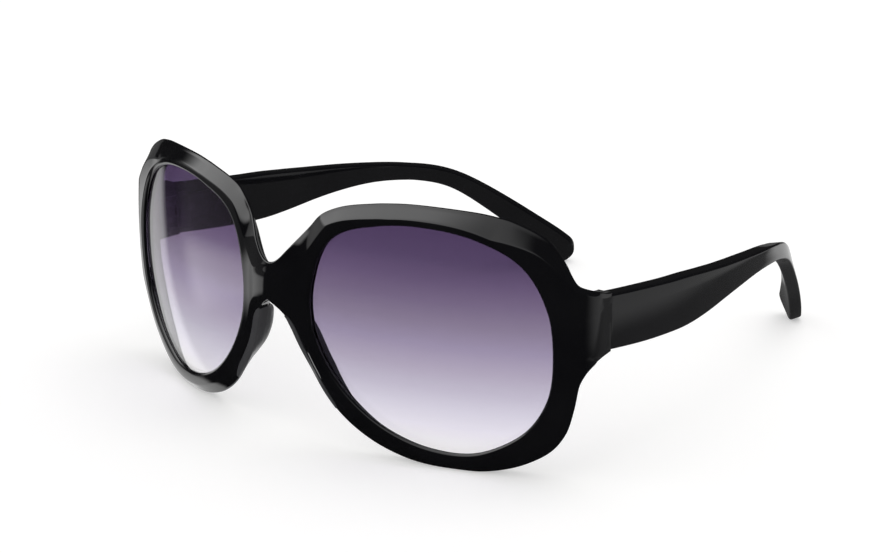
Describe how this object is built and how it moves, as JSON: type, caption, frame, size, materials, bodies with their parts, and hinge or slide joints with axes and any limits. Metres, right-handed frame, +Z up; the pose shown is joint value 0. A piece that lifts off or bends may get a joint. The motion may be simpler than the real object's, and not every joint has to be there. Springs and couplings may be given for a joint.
{
  "type": "sunglasses",
  "caption": "Oversize wrap-around sunglasses with a glossy black plastic frame, gradient tinted lenses and temples that fold on barrel hinges.",
  "frame": {"origin": "on the table, midway between the front and the temple tips, on the plane of symmetry", "axes": "+X to the right of someone who looks at the front, +Y from the front to the temple tips, +Z up"},
  "size_m": [0.1388, 0.1526, 0.058],
  "materials": {
    "frame_plastic": "polished injection-moulded black plastic",
    "lens_tint": "tinted plastic, dark purple-grey at the top fading to nearly clear at the bottom",
    "pad_plastic": "black plastic with a softer gloss than the frame",
    "hinge_metal": null,
    "screw_steel": "turned and black-plated, with a driver slot"
  },
  "bodies": {
    "front": {"front_frame": "frame_plastic", "lens_left": "lens_tint", "lens_right": "lens_tint", "nose_pad_left": "pad_plastic", "nose_pad_right": "pad_plastic", "front_hinge_leaf_left": "hinge_metal", "front_hinge_leaf_right": "hinge_metal", "hinge_screw_left": "screw_steel", "hinge_screw_right": "screw_steel", "front_leaf_screws_left": "screw_steel", "front_leaf_screws_right": "screw_steel"},
    "left_temple": {"temple_left": "frame_plastic", "temple_hinge_leaf_left": "hinge_metal", "temple_leaf_screws_left": "screw_steel"},
    "right_temple": {"temple_right": "frame_plastic", "temple_hinge_leaf_right": "hinge_metal", "temple_leaf_screws_right": "screw_steel"}
  },
  "joints": [
    {"name": "left_fold", "type": "hinge", "parent": "front", "child": "left_temple", "pos_m": [-0.06283, -0.04243, 0.03418], "axis": [0, 0, -1], "range_deg": [0, 79]},
    {"name": "right_fold", "type": "hinge", "parent": "front", "child": "right_temple", "pos_m": [0.06283, -0.04243, 0.03418], "axis": [0, 0, 1], "range_deg": [0, 73]}
  ]
}
